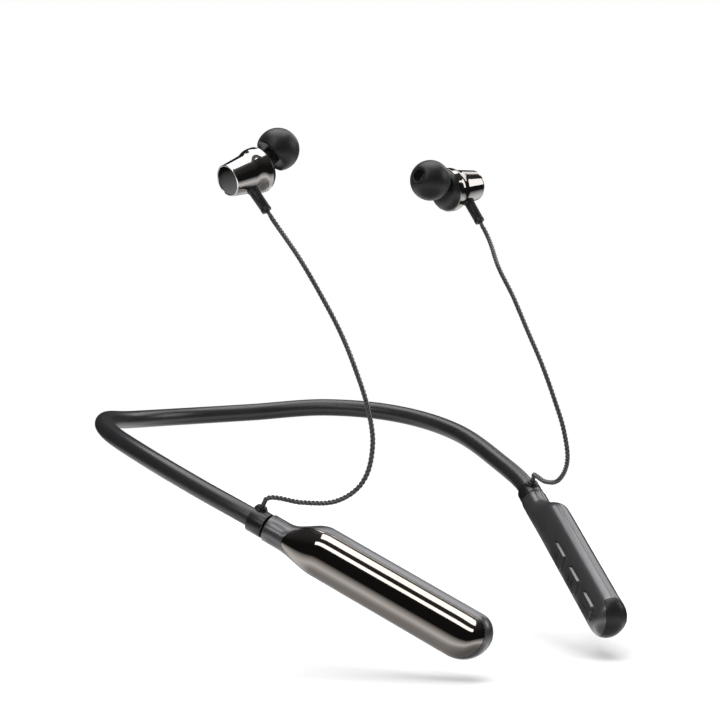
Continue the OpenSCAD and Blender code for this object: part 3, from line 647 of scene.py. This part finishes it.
button("button_plus", BUTTON_X[0], [bar_mark(2.4, 0.45), bar_mark(0.45, 2.4)])
button("button_play", BUTTON_X[1], [
    [(-1.6, -1.1), (-1.6, 1.1), (0.2, 0)],
    [(0.6, -1.1), (1, -1.1), (1, 1.1), (0.6, 1.1)],
    [(1.4, -1.1), (1.8, -1.1), (1.8, 1.1), (1.4, 1.1)]])
button("button_minus", BUTTON_X[2], [bar_mark(2.4, 0.45)])

cover = copy_of(skin, "charging_port_cover")
slice_at(cover, (port_x + 0.1, 0, 0), (-1, 0, 0), True)
slice_at(cover, (0, STRIP_Y + 0.1, 0), (0, -1, 0), True)
round_edges(cover, 0.3, 3, 50)
settle(cover, body_place)
ready(cover, black_rubber, "port_cover", body="port_cover")
bpy.data.objects.remove(skin)


# ---------------------------------------------------------------- earbuds
def bud_radius(z):
    if z < BELL_FROM:
        return REAR_R + (WAIST_R - REAR_R) * z / BELL_FROM
    return WAIST_R + (BUD_R - WAIST_R) * ease((z - BELL_FROM) / (BELL_TO - BELL_FROM))


def dome(radius, low, high, count, middle):
    """Points on a ball's surface from height low to high, measured from its middle."""
    a0, a1 = atan2(low, sqrt(radius**2 - low**2)), atan2(high, sqrt(radius**2 - high**2))
    return [(radius * cos(a0 + (a1 - a0) * i / count), middle + radius * sin(a0 + (a1 - a0) * i / count))
            for i in range(count + 1)]


def bud(side):
    place = bud_place(side)
    heights = [0.16 + i * 0.55 for i in range(20)]
    shell = [(4.16, 0.06), (4.2, 0.01), (4.28, 0), (4.4, 0), (4.47, 0.05)]
    shell += [(bud_radius(z), z) for z in heights]
    shell += [(6.5, 11.35), (6.45, 11.46), (6.35, 11.5), (5.9, 11.5), (5.9, 9.9), (4.85, 6.5), (3.95, 1.25),
              (4.16, 0.9), (4.16, 0.06)]
    housing = turned(f"bud_{side}_turned_housing", shell, 96)
    settle(housing, place)
    ready(housing, dark_nickel_turned, f"bud_{side}_housing", angle=24)
    rim = turned(f"bud_{side}_diamond_cut_rim", [
        (4.17, 0.02), (4.2, -0.03), (4.3, -0.05), (4.42, -0.02), (4.53, 0.08), (4.53, 0.3), (4.4, 0.3),
        (4.17, 0.02)], 96)
    settle(rim, place)
    ready(rim, bright_cut, None)
    disc = turned(f"bud_{side}_back_disc", [
        (0, 1.2), (3.9, 1.2), (4.12, 0.9), (4.12, 0.2), (4.05, 0.12), (3.4, 0.02), (2.3, -0.08),
        (1.2, -0.14), (0, -0.16)], 96)
    settle(disc, place)
    ready(disc, gloss_black, f"bud_{side}_rear_disc")
    front = turned(f"bud_{side}_front_baffle", [
        (0, 9.95), (5.84, 9.95), (5.84, 11.5), (6.22, 11.5), (6.25, 11.6), (6.24, 11.9), (6.1, 12.25),
        (5.65, 12.8), (5.1, 13.12), (4.45, 13.4), (3, 13.53), (0, 13.6)], 96)
    spout = turned("spout", [
        (1.7, 0), (2.5, 0), (2.5, 9.9), (2.4, 10.15), (2.2, 10.2), (2.1, 10.2), (2.1, 9.9), (1.7, 9.9),
        (1.7, 0)], 48)
    spout.data.transform(nozzle_place)
    front = join([front, spout])
    settle(front, place)
    ready(front, black_abs, f"bud_{side}_baffle")
    mid = 7.75
    ball = dome(6.05, -3.0, 5.35, 22, mid)
    tip = turned(f"ear_tip_{side}_dome", ball + [
        (2.55, mid + 5.46), (2.4, mid + 5.5), (2.2, mid + 5.46), (2.05, mid + 5.3), (2, mid + 5.1),
        (2, mid + 2.6), (2.55, mid + 2.6), (2.55, mid - 2.5), (3.2, mid - 2.5), (4.4, mid - 2.62),
        (4.78, mid - 2.95), (4.95, mid - 3.08), (5.12, mid - 3.09), ball[0]], 72)
    tip.data.transform(nozzle_place)
    settle(tip, place)
    ready(tip, tip_silicone, f"bud_{side}_ear_tip", body=f"ear_tip_{side}", angle=50)
    top = bud_radius(RELIEF_Z)
    relief = turned(f"bud_{side}_cord_relief", [
        (0.75, top - 0.8), (1.3, top - 0.8), (1.3, top - 0.3), (1.7, top - 0.3), (1.72, top + 0.1),
        (1.66, top + 0.3), (1.55, top + 0.42), (1.5, top + 0.6), (1.5, top + 1.1), (1.45, 11.2),
        (1.38, 11.35), (1.38, 11.45), (1.5, 11.55), (1.5, 12.45), (1.4, 12.58), (1.2, 12.6),
        (0.9, 12.58), (0.75, 12.4), (0.75, top - 0.8)], 48)
    relief.data.transform(Matrix.Translation((0, 0, RELIEF_Z * MM)) @ Matrix.Rotation(pi / 2, 4, "X"))
    settle(relief, place)
    ready(relief, black_rubber, f"bud_{side}_strain_relief")


for ear in ("left", "right"):
    bud(ear)

# ---------------------------------------------------------------- floor and studio
clear_selection()
bpy.ops.mesh.primitive_circle_add(vertices=96, radius=0.42, fill_type="NGON", location=(0, -0.08, -0.0575))
floor = named("studio_floor")
floor.data.materials.append(finish_of("matt_white_board", ("#f4f4f4", "#f8f8f8"), (0.75, 0.9), 2.0, 0.01))
# The floor is left out of reflections, so that the polished faces mirror the studio's own light and dark.
floor.visible_glossy = False


def softbox(name, azimuth, elevation, width, height, power, distance=1.2):
    """A soft light, its azimuth in degrees from -Y toward +X and its elevation above the horizon."""
    a, e = radians(azimuth), radians(elevation)
    middle = Vector((-0.03, -0.13, -0.02))
    toward = Vector((sin(a) * cos(e), -cos(a) * cos(e), sin(e)))
    bpy.ops.object.light_add(type="AREA", location=middle + toward * distance)
    lamp = named(name)
    lamp.rotation_euler = (-toward).to_track_quat("-Z", "Y").to_euler()
    lamp.data.shape = "RECTANGLE"
    lamp.data.size, lamp.data.size_y = width, height
    lamp.data.energy = power


softbox("upper_strip", -66, 54, 0.45, 0.37, 2.3)
softbox("lower_strip", -76, 27.5, 0.6, 0.21, 1.8)
softbox("overhead", 140, 76, 1.3, 1.3, 18.0, 1.4)
softbox("right_fill", 60, 25, 0.5, 0.7, 3.5, 1.4)
softbox("far_side", 110, 32, 0.6, 0.6, 2.2, 1.4)

world = bpy.data.worlds.new("studio")
bpy.context.scene.world = world
world.use_nodes = True
tree = world.node_tree
tree.nodes.clear()
heading = add_node(tree, "ShaderNodeTexCoord").outputs["Generated"]
height = add_node(tree, "ShaderNodeSeparateXYZ", {0: heading}).outputs["Z"]
ramp = add_node(tree, "ShaderNodeValToRGB", {0: add_node(tree, "ShaderNodeMapRange", {
    "Value": height, "From Min": -1.0, "From Max": 1.0}).outputs["Result"]})
stops = ramp.color_ramp.elements
stops[0].position, stops[0].color = 0.05, (0.2, 0.2, 0.2, 1)
stops[1].position, stops[1].color = 1.0, (0.25, 0.25, 0.25, 1)
for position, grey in ((0.16, 0.42), (0.235, 1.0), (0.31, 0.55), (0.4, 0.012), (0.66, 0.012), (0.9, 0.05)):
    stops.new(position).color = (grey, grey, grey, 1)
mirrored = add_node(tree, "ShaderNodeBackground", {"Color": ramp.outputs["Color"], "Strength": 1.6})
plain = add_node(tree, "ShaderNodeBackground", {"Color": (1, 1, 1, 1), "Strength": 0.45})
seen = add_node(tree, "ShaderNodeBackground", {"Color": (1, 1, 1, 1), "Strength": 1.0})
rays = add_node(tree, "ShaderNodeLightPath").outputs
lit = add_node(tree, "ShaderNodeMixShader", {
    0: rays["Is Glossy Ray"], 1: plain.outputs[0], 2: mirrored.outputs[0]})
mixed = add_node(tree, "ShaderNodeMixShader", {
    0: rays["Is Camera Ray"], 1: lit.outputs[0], 2: seen.outputs[0]})
add_node(tree, "ShaderNodeOutputWorld", {"Surface": mixed.outputs[0]})
